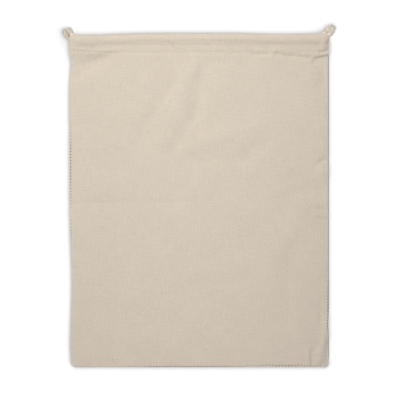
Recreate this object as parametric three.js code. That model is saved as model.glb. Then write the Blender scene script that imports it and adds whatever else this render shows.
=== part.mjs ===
// A flat, empty cotton food bag with a drawcord casing at its mouth, lying on its back.
// Millimetres, +Z up, +Y towards the mouth. The origin lies under the middle of the bag.
import * as THREE from "three";

// Sizes of the sewn bag
const BAG_WIDTH = 300;
const BAG_LENGTH = 386;
const CORNER_LIFT = 1.4; // how far the drawn-up corners stand past the mouth edge
const CORNER_RAISE = 1.2; // how far the front casing is lifted there by the back one
const CORNER_RAISE_FROM = 124;
const CORNER_RAISE_TO = 142;
const CLOTH_THICKNESS = 1;
const CLEARANCE = 0.3;
const CASING_DEPTH = 20; // from the mouth edge to the row of stitches
const HEM_TURNING = 1.5; // from the stitches to the end of the hem
const CASING_FALL = 14; // below the stitches the cloth sinks to the body over this length
const BODY_CROWN = 1.6; // how far the slack body stands above its seams
const CROWN_REACH = 14; // how fast it rises, in from the seams

// Sizes of the drawcords: soft, so they lie flat inside the casing and are round outside
const CORD_DIAMETER = 5.5;
const CORD_FLAT_WIDTH = 6.4;
const CORD_FLAT_HEIGHT = 1.9;
const CORD_PLIES = 3;
const CORD_LAY = 13; // length of one full turn of the twist
const CORD_CLEARANCE = 0.4; // room above and below the cord
const CORD_SLACK = 0.8; // room for the cord at the mouth edge
const PLY_GROOVE = 0.3; // depth of the grooves between the plies, as a share of the radius
const ROUNDING_LENGTH = 5; // out of the casing the cord turns round over this length

// Places worked out from the sizes
const HALF_WIDTH = BAG_WIDTH / 2;
const BOTTOM_Y = -(BAG_LENGTH + CORNER_LIFT) / 2;
const MOUTH_Y = BOTTOM_Y + BAG_LENGTH;
const STITCH_Y = MOUTH_Y - CASING_DEPTH;
const HEM_END_Y = STITCH_Y - HEM_TURNING;
const FOLD_REACH = CORD_FLAT_WIDTH / 2 + CORD_SLACK + CLOTH_THICKNESS / 2;
const CORD_Y = MOUTH_Y - CLOTH_THICKNESS / 2 - FOLD_REACH;
const RIDGE_Y = CORD_Y - CORD_FLAT_WIDTH / 4; // where the casing has risen to its full height

// Heights of the middles of the layers: back cloth, back hem, front hem, front cloth
const LAYER_STEP = CLOTH_THICKNESS + CLEARANCE;
const CORD_STEP = CLOTH_THICKNESS + 2 * CORD_CLEARANCE + CORD_FLAT_HEIGHT;
const BACK_CLOTH_Z = CLOTH_THICKNESS / 2;
const BACK_CORD_Z = BACK_CLOTH_Z + CORD_STEP / 2;
const BACK_HEM_Z = { stitches: BACK_CLOTH_Z + LAYER_STEP, cord: BACK_CLOTH_Z + CORD_STEP };
const FRONT_HEM_Z = { stitches: BACK_HEM_Z.stitches + LAYER_STEP, cord: BACK_HEM_Z.cord + LAYER_STEP };
const FRONT_CORD_Z = FRONT_HEM_Z.cord + CORD_STEP / 2;
const CORNER_CORD_Z = FRONT_CORD_Z + CORNER_RAISE;
const FRONT_CLOTH_Z = { stitches: FRONT_HEM_Z.stitches + LAYER_STEP, cord: FRONT_HEM_Z.cord + CORD_STEP };
const SEAM_Z = BACK_CLOTH_Z + LAYER_STEP; // front cloth where it is sewn to the back

// Steps of the meshes
const EDGE_STEPS = [0, 2.5, 5, 7.5, 10.5, 14, 19, 27]; // in from a sewn edge
const CASING_STEPS = [0, 0.16, 0.38, 0.62, 0.8, 0.9, 1]; // share of the way from stitches to cord
const FOLD_STEPS = 6; // round the mouth edge
const ROUTE_SAMPLES = 600;
const CORD_SIDES = 12;
const CASING_CORD_STEP = 9;
const STUB_CORD_STEP = 1.2;

// The casing is drawn in along its cord, so these routes shape the mouth edge as well.
const FRONT_ROUTE = [
  { x: -151.6, y: 197.6, z: 7.3 },
  { x: -149.6, y: 194.2, z: 7.9 },
  { x: -146.8, y: 190.3, z: CORNER_CORD_Z },
  { x: -144.0, y: 188.0, z: CORNER_CORD_Z },
  { x: -140.6, y: 186.5, z: CORNER_CORD_Z },
  { x: -135.6, y: 185.7, z: 8.2 },
  { x: -130.0, y: 185.4, z: 7.66 },
  { x: -123.0, y: 185.4, z: FRONT_CORD_Z },
  { x: -112.0, y: 185.5, z: FRONT_CORD_Z },
  { x: -95.0, y: 186.2, z: FRONT_CORD_Z },
  { x: -75.0, y: 186.9, z: FRONT_CORD_Z },
  { x: -45.0, y: CORD_Y, z: FRONT_CORD_Z },
  { x: 0, y: CORD_Y, z: FRONT_CORD_Z },
  { x: 45.0, y: CORD_Y, z: FRONT_CORD_Z },
  { x: 70.0, y: 186.7, z: FRONT_CORD_Z },
  { x: 90.0, y: 186.2, z: FRONT_CORD_Z },
  { x: 108.0, y: 186.3, z: FRONT_CORD_Z },
  { x: 124.0, y: 186.6, z: FRONT_CORD_Z },
  { x: 131.0, y: 186.8, z: 7.75 },
  { x: 137.0, y: 187.0, z: 8.32 },
  { x: 143.4, y: 187.5, z: CORNER_CORD_Z },
  { x: 147.7, y: 189.3, z: CORNER_CORD_Z },
  { x: 150.9, y: 192.2, z: 8.5 },
  { x: 153.7, y: 195.9, z: 8.4 },
  { x: 156.0, y: 199.7, z: 8.4 },
];
const BACK_ROUTE = [
  { x: -155.5, y: 196.3, z: 2.85 },
  { x: -154.2, y: 193.5, z: 2.8 },
  { x: -152.4, y: 190.7, z: 2.6 },
  { x: -149.9, y: 188.2, z: BACK_CORD_Z },
  { x: -146.8, y: 186.5, z: BACK_CORD_Z },
  { x: -142.2, y: 185.6, z: BACK_CORD_Z },
  { x: -130.0, y: 185.4, z: BACK_CORD_Z },
  { x: -112.0, y: 185.5, z: BACK_CORD_Z },
  { x: -95.0, y: 186.2, z: BACK_CORD_Z },
  { x: -75.0, y: 186.9, z: BACK_CORD_Z },
  { x: -45.0, y: CORD_Y, z: BACK_CORD_Z },
  { x: 0, y: CORD_Y, z: BACK_CORD_Z },
  { x: 45.0, y: CORD_Y, z: BACK_CORD_Z },
  { x: 70.0, y: 186.7, z: BACK_CORD_Z },
  { x: 90.0, y: 186.2, z: BACK_CORD_Z },
  { x: 108.0, y: 186.3, z: BACK_CORD_Z },
  { x: 123.0, y: 186.6, z: BACK_CORD_Z },
  { x: 131.6, y: 186.9, z: BACK_CORD_Z },
  { x: 137.2, y: 187.5, z: BACK_CORD_Z },
  { x: 141.5, y: 189.3, z: BACK_CORD_Z },
  { x: 145.0, y: 192.2, z: BACK_CORD_Z },
  { x: 148.2, y: 195.2, z: 2.6 },
  { x: 151.4, y: 198.2, z: 2.8 },
  { x: 154.2, y: 201.0, z: 2.85 },
];

// Where the side edges draw in from a straight line, and how the two bottom corners are rounded
const SIDE_WAVES = [
  { side: "left", y: 160, spread: 13, depth: 1.4 },
  { side: "left", y: -97, spread: 58, depth: 2.5 },
  { side: "left", y: -188, spread: 13, depth: 1.3 },
  { side: "right", y: -144, spread: 9, depth: 0.5 },
];
const BOTTOM_CORNER_RADIUS = { left: 7, right: 4.5 };

// Soft folds of the front cloth: troughs have a negative height
const FOLDS = [
  { fromX: -2, fromY: 170, toX: -36, toY: 77, halfWidth: 10, height: 1.3 },
  { fromX: 5, fromY: 153, toX: -5, toY: 99, halfWidth: 8, height: -0.9 },
  { fromX: -5, fromY: 99, toX: -31, toY: 54, halfWidth: 9, height: -0.9 },
  { fromX: -33, fromY: 131, toX: -58, toY: 93, halfWidth: 8, height: -0.8 },
  { fromX: -58, fromY: 93, toX: -73, toY: 54, halfWidth: 9, height: -0.7 },
  { fromX: 84, fromY: 93, toX: -13, toY: 60, halfWidth: 10, height: 0.9 },
  { fromX: 79, fromY: 67, toX: 53, toY: 46, halfWidth: 9, height: -1.0 },
  { fromX: 53, fromY: 46, toX: -13, toY: 46, halfWidth: 9, height: -0.7 },
  { fromX: 110, fromY: 28, toX: 140, toY: 28, halfWidth: 8, height: -0.9 },
  { fromX: -148, fromY: -4, toX: -15, toY: -3, halfWidth: 7, height: -0.5 },
  { fromX: 109, fromY: -32, toX: 96, toY: -61, halfWidth: 9, height: 0.6 },
  { fromX: 102, fromY: -58, toX: 102, toY: -142, halfWidth: 9, height: -0.6 },
  { fromX: -130, fromY: -116, toX: -87, toY: -180, halfWidth: 11, height: -0.9 },
  { fromX: 90, fromY: -184, toX: 110, toY: -175, halfWidth: 7, height: -0.5 },
];

// Shape functions
function bell(share) {
  return Math.exp(-share * share);
}

function foldHeight(fold, x, y) {
  const runX = fold.toX - fold.fromX;
  const runY = fold.toY - fold.fromY;
  const share = ((x - fold.fromX) * runX + (y - fold.fromY) * runY) / (runX * runX + runY * runY);
  const along = THREE.MathUtils.clamp(share, 0, 1);
  const away = Math.hypot(x - fold.fromX - along * runX, y - fold.fromY - along * runY);
  return fold.height * bell(away / fold.halfWidth);
}

// From the stitches the cloth rises in a straight tent, and eases into the ridge over the cord.
function casingRise(y) {
  const share = THREE.MathUtils.clamp((y - STITCH_Y) / (RIDGE_Y - STITCH_Y), 0, 1);
  const easeFrom = 0.7;
  const easeRate = 1 / ((1 - easeFrom) * (1 + easeFrom));
  if (share < easeFrom) {
    return 2 * easeRate * (1 - easeFrom) * share;
  }
  return 1 - easeRate * (1 - share) ** 2;
}

function casingHeight(layer, y) {
  return THREE.MathUtils.lerp(layer.stitches, layer.cord, casingRise(y));
}

function frontClothHeight(x, y) {
  if (y >= STITCH_Y) {
    return casingHeight(FRONT_CLOTH_Z, y);
  }
  const fromSeam = Math.max(0, Math.min(HALF_WIDTH - Math.abs(x), y - BOTTOM_Y));
  const crown = BODY_CROWN * (1 - Math.exp(-fromSeam / CROWN_REACH));
  const slack = crown / BODY_CROWN;
  const folds = FOLDS.reduce((sum, fold) => sum + foldHeight(fold, x, y), 0);
  const body = Math.max(SEAM_Z, SEAM_Z + crown + slack * folds);
  const lifted = THREE.MathUtils.smoothstep(y, STITCH_Y - CASING_FALL, HEM_END_Y - CLEARANCE);
  return THREE.MathUtils.lerp(body, FRONT_CLOTH_Z.stitches, lifted);
}

// How far the cloth reaches to one side at a given length, cut off square to the cord at the casing
function sideReach(side, y, casingEnd) {
  const waves = SIDE_WAVES.filter((wave) => wave.side === side);
  const drawnIn = waves.reduce((sum, wave) => sum + wave.depth * bell((y - wave.y) / wave.spread), 0);
  const radius = BOTTOM_CORNER_RADIUS[side];
  const intoCorner = THREE.MathUtils.clamp(BOTTOM_Y + radius - y, 0, radius);
  const rounded = radius - Math.sqrt(radius * radius - intoCorner * intoCorner);
  return Math.min(HALF_WIDTH - drawnIn - rounded, casingEnd - (y - CORD_Y));
}

function routeCurve(route) {
  return new THREE.CatmullRomCurve3(route.map((row) => new THREE.Vector3(row.x, row.y, row.z)));
}

// The mouth edge follows the cord: how far the cord lies past its straight line at each x
function mouthLift(curve) {
  const samples = curve.getPoints(ROUTE_SAMPLES);
  return (x) => {
    const next = samples.findIndex((point) => point.x > x);
    const share = (x - samples[next - 1].x) / (samples[next].x - samples[next - 1].x);
    return THREE.MathUtils.lerp(samples[next - 1].y, samples[next].y, share) - CORD_Y;
  };
}

// Solid between closed rings of points, with both ends closed by strips
function closedLoft(rings) {
  const count = rings[0].length;
  const positions = rings.flat().flatMap((point) => [point.x, point.y, point.z]);
  const triangles = [];
  const addQuad = (a, b, c, d) => triangles.push(a, b, c, a, c, d);
  for (let ring = 0; ring + 1 < rings.length; ring++) {
    for (let k = 0; k < count; k++) {
      const here = ring * count;
      const there = here + count;
      const next = (k + 1) % count;
      addQuad(here + k, there + k, there + next, here + next);
    }
  }
  const last = (rings.length - 1) * count;
  for (let k = 0; k < count / 2 - 1; k++) {
    const across = count - 1 - k;
    addQuad(k, k + 1, across - 1, across);
    addQuad(last + k, last + across, last + across - 1, last + k + 1);
  }
  const geometry = new THREE.BufferGeometry();
  geometry.setAttribute("position", new THREE.Float32BufferAttribute(positions, 3));
  geometry.setIndex(triangles);
  geometry.computeVertexNormals();
  return geometry;
}

function evenSteps(from, to, spacing) {
  const count = Math.round((to - from) / spacing);
  return Array.from({ length: count - 1 }, (_, step) => from + ((to - from) * (step + 1)) / count);
}

// Cloth panels
function columnShares(spacing) {
  const left = EDGE_STEPS.map((step) => step - HALF_WIDTH);
  const inner = HALF_WIDTH - EDGE_STEPS[EDGE_STEPS.length - 1];
  const right = left.map((x) => -x).reverse();
  return [...left, ...evenSteps(-inner, inner, spacing), ...right].map((x) => x / HALF_WIDTH);
}

function casingRows() {
  return CASING_STEPS.map((share) => THREE.MathUtils.lerp(STITCH_Y, CORD_Y, share));
}

// Middle line of one panel, from the bottom seam over the mouth edge to the end of the hem
function panelSection(panel, x) {
  const bodyTop = STITCH_Y - CASING_FALL;
  const bottomRows = EDGE_STEPS.map((step) => BOTTOM_Y + step);
  const bodyRows = evenSteps(bottomRows[bottomRows.length - 1], bodyTop, panel.rowSpacing);
  const fallRows = [bodyTop, (bodyTop + HEM_END_Y) / 2, HEM_END_Y];
  const outerRows = [...bottomRows, ...bodyRows, ...fallRows, ...casingRows()];
  const section = outerRows.map((y) => ({ y, z: panel.clothHeight(x, y) }));
  const outerZ = panel.clothHeight(x, CORD_Y);
  const hemZ = panel.hem.cord;
  for (let step = 1; step < FOLD_STEPS; step++) {
    const turn = (Math.PI * step) / FOLD_STEPS;
    const z = (outerZ + hemZ) / 2 + ((outerZ - hemZ) / 2) * Math.cos(turn);
    section.push({ y: CORD_Y + FOLD_REACH * Math.sin(turn), z });
  }
  const hemRows = [...casingRows().reverse(), HEM_END_Y];
  return section.concat(hemRows.map((y) => ({ y, z: casingHeight(panel.hem, y) })));
}

// Points half a thickness to either side of a section's middle line, as one closed ring
function thickRing(section) {
  const sides = [1, -1].map((side) =>
    section.map((point, row) => {
      const before = section[Math.max(row - 1, 0)];
      const after = section[Math.min(row + 1, section.length - 1)];
      const length = Math.hypot(after.y - before.y, after.z - before.z);
      const offset = (side * CLOTH_THICKNESS) / 2 / length;
      return { y: point.y - offset * (after.z - before.z), z: point.z + offset * (after.y - before.y) };
    }),
  );
  return [...sides[0], ...sides[1].reverse()];
}

function panelGeometry(panel) {
  const liftAt = mouthLift(panel.curve);
  const rings = columnShares(panel.columnSpacing).map((share) => {
    const side = share < 0 ? "left" : "right";
    const section = panelSection(panel, share * HALF_WIDTH);
    return thickRing(section).map(({ y, z }) => {
      const x = share * sideReach(side, y, panel.casingEnd[side]);
      const drawn = THREE.MathUtils.clamp((y - STITCH_Y) / (CORD_Y - STITCH_Y), 0, 1) ** 2;
      const corner = THREE.MathUtils.smoothstep(Math.abs(x), CORNER_RAISE_FROM, CORNER_RAISE_TO);
      const raise = panel.cornerRaise * corner * casingRise(y);
      return new THREE.Vector3(x, y + drawn * liftAt(x), z + raise);
    });
  });
  return closedLoft(rings);
}

// Drawcords
function cordGeometry(panel) {
  const { curve, casingEnd } = panel;
  const length = curve.getLength();
  const outside = (point) => Math.max(point.x - casingEnd.right, -casingEnd.left - point.x);
  const distances = [0];
  while (distances[distances.length - 1] < length) {
    const travelled = distances[distances.length - 1];
    const point = curve.getPointAt(travelled / length);
    const inCasing = outside(point) < -CASING_CORD_STEP;
    distances.push(Math.min(length, travelled + (inCasing ? CASING_CORD_STEP : STUB_CORD_STEP)));
  }
  const up = new THREE.Vector3(0, 0, 1);
  const rings = distances.map((travelled) => {
    const point = curve.getPointAt(travelled / length);
    const heading = curve.getTangentAt(travelled / length);
    const across = new THREE.Vector3().crossVectors(up, heading).normalize();
    const over = new THREE.Vector3().crossVectors(heading, across);
    const free = THREE.MathUtils.smoothstep(outside(point), 0, ROUNDING_LENGTH);
    const flatWidth = CORD_FLAT_WIDTH * Math.abs(heading.x);
    const width = THREE.MathUtils.lerp(flatWidth, CORD_DIAMETER, free);
    const height = THREE.MathUtils.lerp(CORD_FLAT_HEIGHT, CORD_DIAMETER, free);
    return Array.from({ length: CORD_SIDES }, (_, side) => {
      const angle = (2 * Math.PI * side) / CORD_SIDES;
      const twist = angle + (2 * Math.PI * travelled) / CORD_LAY;
      const radius = 0.5 - 0.25 * free * PLY_GROOVE * (1 - Math.cos(CORD_PLIES * twist));
      return point
        .clone()
        .addScaledVector(across, Math.sin(angle) * radius * width)
        .addScaledVector(over, Math.cos(angle) * radius * height);
    });
  });
  return closedLoft(rings);
}

// The two panels, each with its own casing and drawcord
const PANELS = [
  {
    name: "back_panel",
    cordName: "drawcord_back",
    curve: routeCurve(BACK_ROUTE),
    cornerRaise: 0,
    casingEnd: { left: 149.5, right: 145 },
    clothHeight: () => BACK_CLOTH_Z,
    hem: BACK_HEM_Z,
    columnSpacing: 20,
    rowSpacing: 75,
  },
  {
    name: "front_panel",
    cordName: "drawcord_front",
    curve: routeCurve(FRONT_ROUTE),
    cornerRaise: CORNER_RAISE,
    casingEnd: { left: 146.8, right: 149.5 },
    clothHeight: frontClothHeight,
    hem: FRONT_HEM_Z,
    columnSpacing: 12,
    rowSpacing: 11,
  },
];

const cotton = new THREE.MeshStandardMaterial({ color: "#d6cab7", roughness: 0.95, metalness: 0 });
const cordCotton = new THREE.MeshStandardMaterial({ color: "#e0cdb8", roughness: 0.9, metalness: 0 });

function namedMesh(name, geometry, material) {
  const mesh = new THREE.Mesh(geometry, material);
  mesh.name = name;
  return mesh;
}

const bag = new THREE.Group();
for (const panel of PANELS) {
  bag.add(namedMesh(panel.name, panelGeometry(panel), cotton));
  bag.add(namedMesh(panel.cordName, cordGeometry(panel), cordCotton));
}

export default bag;
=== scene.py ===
"""Cloth, drawcords, stitches and stage of a flat cotton food bag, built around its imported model.

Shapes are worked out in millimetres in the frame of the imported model: +Y towards the mouth, +Z up.
"""

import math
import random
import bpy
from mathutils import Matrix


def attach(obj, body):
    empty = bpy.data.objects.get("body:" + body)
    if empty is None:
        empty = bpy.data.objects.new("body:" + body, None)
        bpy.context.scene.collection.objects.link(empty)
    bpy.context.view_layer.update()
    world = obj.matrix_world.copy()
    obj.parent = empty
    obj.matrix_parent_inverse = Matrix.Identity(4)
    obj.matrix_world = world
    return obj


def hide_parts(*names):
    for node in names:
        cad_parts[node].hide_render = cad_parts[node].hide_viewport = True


bl_info = {
    "name": "Cotton food bag",
    "version": (1, 0, 0),
    "blender": (4, 5, 0),
    "location": "View3D > Sidebar > Cotton bag",
    "description": "Builds the cloth, drawcords, stitches and stage of a flat cotton food bag",
    "category": "Add Mesh",
}

from collections import namedtuple

import bmesh
import bpy
import numpy as np
from mathutils import Vector, noise

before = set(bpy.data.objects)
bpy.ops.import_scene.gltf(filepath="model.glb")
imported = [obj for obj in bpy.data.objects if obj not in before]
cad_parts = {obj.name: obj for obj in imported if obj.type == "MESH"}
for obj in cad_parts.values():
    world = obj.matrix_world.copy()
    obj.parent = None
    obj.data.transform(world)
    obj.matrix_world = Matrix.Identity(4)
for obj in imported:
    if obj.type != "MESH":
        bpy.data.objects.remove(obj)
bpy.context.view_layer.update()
MM = 0.001

# Sizes of the sewn bag, as in the solids
HALF_WIDTH = 150
BAG_LENGTH = 386
CORNER_LIFT = 1.4
CORNER_RAISE = 1.2
CORNER_RAISE_FROM = 124
CORNER_RAISE_TO = 142
LAYER_HALF = 0.5  # the outer face lies this far out from the middle of a solid's cloth
CASING_DEPTH = 20
HEM_TURNING = 1.5
CASING_FALL = 14
BODY_CROWN = 1.6
CROWN_REACH = 14
HEM_CLEARANCE = 0.3
EASE_FROM = 0.7  # share of the casing's rise that is straight

# Sizes of the drawcords, as in the solids
CORD_DIAMETER = 5.5
CORD_FLAT_WIDTH = 6.4
CORD_FLAT_HEIGHT = 1.9
CORD_PLIES = 3
CORD_LAY = 13
ROUNDING_LENGTH = 5
PLY_RADIUS = 0.6  # of one ply, as a share of the cord's radius
PLY_OFFSET = 0.4  # of its middle from the cord's middle
FLOOR_GAP = 0.05  # the cord lies flat on the surface, this far above it
CUT_GIRTH = {"left": 0.95, "right": 0.6}  # of a strand at its cut, as a share of the cord's
TAPER_LENGTH = 6

# Loose fibres of the cords
FIBRE_STEPS = 6
FIBRE_SIDES = 4
FUZZ_SHARE = 3  # fibres along a free end, for each one at its cut

# Places and heights, as in the solids
BOTTOM_Y = -(BAG_LENGTH + CORNER_LIFT) / 2
MOUTH_Y = BOTTOM_Y + BAG_LENGTH
STITCH_Y = MOUTH_Y - CASING_DEPTH
HEM_END_Y = STITCH_Y - HEM_TURNING
FOLD_REACH = 4.5
CORD_Y = MOUTH_Y - LAYER_HALF - FOLD_REACH
RIDGE_Y = CORD_Y - CORD_FLAT_WIDTH / 4
BACK_CLOTH_Z = 0.5
BACK_CORD_Z = 2.35
FRONT_CORD_Z = 7.35
CORNER_CORD_Z = FRONT_CORD_Z + CORNER_RAISE
SEAM_Z = 1.8
SUNK_SEAM_Z = 1.4  # the lowest that a crease sinks the front cloth at the seams
SUNK_Z = 0.9  # the same away from them

Layer = namedtuple("Layer", "stitches cord")
BACK_HEM_Z = Layer(1.8, 4.2)
FRONT_HEM_Z = Layer(3.1, 5.5)
FRONT_CLOTH_Z = Layer(4.4, 9.2)

# Edges that are turned in at the seams and at the open ends of the casing
LIP_REACH = 0.7
LIP_DROP = 0.9
Lip = namedtuple("Lip", "turn under")
LIP_STEPS = [Lip(turn, 0) for turn in (30, 60, 90, 120, 150, 180)] + [Lip(180, 1.4), Lip(180, 3.0)]

# Stitches
STITCH_PITCH = 3.6
STITCH_LENGTH = 2.9
STITCH_GROOVE = 0.08  # how deep a row of stitches pulls the cloth in
STITCH_GROOVE_WIDTH = 1.4

# Routes of the cords, left end to right end, as in the solids
FRONT_ROUTE = [
    (-151.6, 197.6, 7.3),
    (-149.6, 194.2, 7.9),
    (-146.8, 190.3, CORNER_CORD_Z),
    (-144.0, 188.0, CORNER_CORD_Z),
    (-140.6, 186.5, CORNER_CORD_Z),
    (-135.6, 185.7, 8.2),
    (-130.0, 185.4, 7.66),
    (-123.0, 185.4, FRONT_CORD_Z),
    (-112.0, 185.5, FRONT_CORD_Z),
    (-95.0, 186.2, FRONT_CORD_Z),
    (-75.0, 186.9, FRONT_CORD_Z),
    (-45.0, CORD_Y, FRONT_CORD_Z),
    (0, CORD_Y, FRONT_CORD_Z),
    (45.0, CORD_Y, FRONT_CORD_Z),
    (70.0, 186.7, FRONT_CORD_Z),
    (90.0, 186.2, FRONT_CORD_Z),
    (108.0, 186.3, FRONT_CORD_Z),
    (124.0, 186.6, FRONT_CORD_Z),
    (131.0, 186.8, 7.75),
    (137.0, 187.0, 8.32),
    (143.4, 187.5, CORNER_CORD_Z),
    (147.7, 189.3, CORNER_CORD_Z),
    (150.9, 192.2, 8.5),
    (153.7, 195.9, 8.4),
    (156.0, 199.7, 8.4),
]
BACK_ROUTE = [
    (-155.5, 196.3, 2.85),
    (-154.2, 193.5, 2.8),
    (-152.4, 190.7, 2.6),
    (-149.9, 188.2, BACK_CORD_Z),
    (-146.8, 186.5, BACK_CORD_Z),
    (-142.2, 185.6, BACK_CORD_Z),
    (-130.0, 185.4, BACK_CORD_Z),
    (-112.0, 185.5, BACK_CORD_Z),
    (-95.0, 186.2, BACK_CORD_Z),
    (-75.0, 186.9, BACK_CORD_Z),
    (-45.0, CORD_Y, BACK_CORD_Z),
    (0, CORD_Y, BACK_CORD_Z),
    (45.0, CORD_Y, BACK_CORD_Z),
    (70.0, 186.7, BACK_CORD_Z),
    (90.0, 186.2, BACK_CORD_Z),
    (108.0, 186.3, BACK_CORD_Z),
    (123.0, 186.6, BACK_CORD_Z),
    (131.6, 186.9, BACK_CORD_Z),
    (137.2, 187.5, BACK_CORD_Z),
    (141.5, 189.3, BACK_CORD_Z),
    (145.0, 192.2, BACK_CORD_Z),
    (148.2, 195.2, 2.6),
    (151.4, 198.2, 2.8),
    (154.2, 201.0, 2.85),
]

# Where the side edges draw in from a straight line, and how the bottom corners are rounded
Wave = namedtuple("Wave", "side y spread depth")
SIDE_WAVES = [
    Wave("left", 160, 13, 1.4),
    Wave("left", -97, 58, 2.5),
    Wave("left", -188, 13, 1.3),
    Wave("right", -144, 9, 0.5),
]
BOTTOM_CORNER_RADIUS = {"left": 7, "right": 4.5}

# Where a seam rolls to the front, so that the thread between the two panels shows; that thread is coloured dark as
# painted shade of the seam
Roll = namedtuple("Roll", "edge start end inset")
SEAM_ROLLS = [
    Roll("right", -184, 171, 0.5),
]
ROLL_FADE = 9

# Where the stitches of a seam show on the front, and how far in from the edge; their dark colour is painted shade of
# the gaps between them
Stitching = namedtuple("Stitching", "edge start end inset waver")
SEAM_STITCHES = [
    Stitching("left", -8, 92, 1.2, 0.1),
    Stitching("left", -43, -20, 0.9, 0.1),
    Stitching("bottom", -82, 56, 0.9, 0.2),
    Stitching("bottom", 56, 144, 2.1, 0.5),
    Stitching("right", -150, -90, 0.9, 0.1),
]
STITCH_FADE = 40  # the stitches are drawn in over this length at either end of a row

# Soft folds of the front cloth: troughs have a negative height
Fold = namedtuple("Fold", "from_x from_y to_x to_y half_width height")
FOLDS = [
    Fold(-2, 170, -36, 77, 10, 1.3),
    Fold(5, 153, -5, 99, 8, -0.9),
    Fold(-5, 99, -31, 54, 9, -0.9),
    Fold(-33, 131, -58, 93, 8, -0.8),
    Fold(-58, 93, -73, 54, 9, -0.7),
    Fold(84, 93, -13, 60, 10, 0.9),
    Fold(79, 67, 53, 46, 9, -1.0),
    Fold(53, 46, -13, 46, 9, -0.7),
    Fold(110, 28, 140, 28, 8, -0.9),
    Fold(-148, -4, -15, -3, 7, -0.5),
    Fold(109, -32, 96, -61, 9, 0.6),
    Fold(102, -58, 102, -142, 9, -0.6),
    Fold(-130, -116, -87, -180, 11, -0.9),
    Fold(90, -184, 110, -175, 7, -0.5),
]

# Small creases and puckers of the front cloth, too fine for the solids
# Folds that cross the stitches of the casing
LEFT_CASING_EDGE = Fold(-145, 172.5, -104, 170.3, 4.5, 1.4)
RIGHT_CASING_EDGE = Fold(140, 170.6, 149, 172.9, 1.6, -1.5)
CREASES = [
    # pressed crease from packing
    Fold(-148, -4.4, -90, -3.0, 1.8, -0.35),
    Fold(-44, -3.4, -14, -3.0, 1.8, -0.3),
    # puckers along the left seam
    Fold(-143, 112, -143, 97, 3, 0.5),
    Fold(-149, 83, -133, 87, 4, -0.6),
    Fold(-139, -118, -139, -188, 1.6, -0.2),
    # puckers and the rolled edge along the right seam
    Fold(139, 44, 149, 47.5, 2.4, -1.2),
    Fold(143, 33, 148, 33, 6.5, 1.2),
    Fold(116, 12, 144, 12, 10, -1.3),
    Fold(140, -9.3, 149, -11.6, 1.8, -1.2),
    Fold(141, -17, 149, -18, 3, 0.5),
    Fold(139, -20, 149, -25, 1.8, -1.2),
    Fold(141.5, -115, 141.5, -141, 2.0, -0.6),
    Fold(150, -140, 141, -184, 4.5, 1.3),
    Fold(149.5, -166, 149.5, -184, 2.5, -1.2),
    # puckers along the bottom seam
    Fold(126.5, -176, 127.5, -189, 2.5, 0.8),
    Fold(130.4, -174, 131, -189, 1.6, -1.2),
    Fold(139, -177, 139, -186, 3, 0.9),
    # cloth that sinks under the casing
    LEFT_CASING_EDGE,
    Fold(-147, 146.5, -107, 167, 7.5, -2.6),
    Fold(-104, 169.6, 57, 169.6, 1.6, -0.45),
    Fold(62, 169.0, 80, 168.7, 2.0, -1.7),
    Fold(90, 169.2, 105, 166.4, 2.6, -2.2),
    Fold(109, 167.2, 128, 164.2, 2.8, -1.9),
    # folds at the right end of the casing
    RIGHT_CASING_EDGE,
    Fold(138, 167.8, 149, 169.9, 2.2, 2.0),
    Fold(134.0, 160.0, 138, 161.7, 2.6, -2.2),
    Fold(138, 161.7, 149, 164.3, 4.2, -4.2),
    Fold(147, 135, 147, 160, 9, -1.2),
]

# Creases of the casing: the turned edge inside it shows through, and its ends are gathered
CASING_CREASES = [
    # steep fall below the cord
    Fold(-108, 180.4, 138, 180.4, 5.0, -1.8),
    # turned edge
    LEFT_CASING_EDGE,
    RIGHT_CASING_EDGE,
    Fold(-145.5, 175.6, -130, 173.4, 1.0, 0.6),
    Fold(-130, 173.4, -112, 172.9, 1.0, 0.3),
    Fold(-104, 173.1, 138, 173.1, 0.9, 0.25),
    Fold(-77, 182.9, -68, 184.4, 0.9, -0.4),
    Fold(-68, 184.4, -56, 184.2, 0.9, -0.4),
    Fold(-56, 184.2, -37, 183.3, 0.9, -0.4),
    Fold(-37, 183.3, -27, 174.8, 0.9, -0.9),
    Fold(-27, 174.8, -19, 173.8, 0.9, -0.4),
    Fold(-22, 184.4, 66, 183.4, 1.2, -0.4),
    # gathers
    Fold(-113, 187, -122.5, 175, 4.0, -0.95),
    Fold(80, 181, 80, 172, 4, -0.5),
    Fold(148.0, 180.3, 150.3, 182.8, 0.9, -1.3),
    Fold(150.5, 176.5, 150.5, 182.5, 3.2, -2.4),
]
RIPPLE_LENGTH = 26  # of the faint unevenness of the whole cloth
RIPPLE_HEIGHT = 0.15

# Soft lamps that light the bag alone: the long one over it makes its middle brighter than its sides
BagLamp = namedtuple("BagLamp", "name power_setting place width length")
BAG_LAMPS = [
    BagLamp("key", "key_power", (-0.8, 0.35, 0.8), 0.45, 0.45),
    BagLamp("fill", "fill_power", (0.1, 0.45, 0.75), 0.6, 0.6),
    BagLamp("strip", "strip_power", (0.0, 0.0, 0.25), 0.1, 1.4),
]

# Soft lamps that light the floor alone, so that the bag's edges have the photograph's narrow shadows
FloorLamp = namedtuple("FloorLamp", "name azimuth elevation softness share")
FLOOR_LAMPS = [
    FloorLamp("overhead", 0, 90, 20, 0.88),
    FloorLamp("right", -8, 32, 30, 0.12),
]
FLOOR_WHITE = 0.35  # share of the light that the floor gives back
PAINTED_CONTACT_SHADE_WHITE = 0.235  # floor colour where the shade painted close to the bag is darkest
CONTACT_REACH = 7
CONTACT_OPEN = 0.74  # share of its sky that is open there

# Spacing of the meshes
EDGE_STEPS = [0, 0.6, 1.3, 2.2, 3.4]  # in from a sewn edge
CASING_STEP = 0.8
FALL_STEP = 1.0
FOLD_STEPS = 12
HEM_STEP = 2.5
CORD_SIDES = 30
CASING_CORD_STEP = 5
STUB_CORD_STEP = 0.5
ROUTE_STEPS = 24  # samples between two rows of a route
UV_NAME = "cloth"


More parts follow.
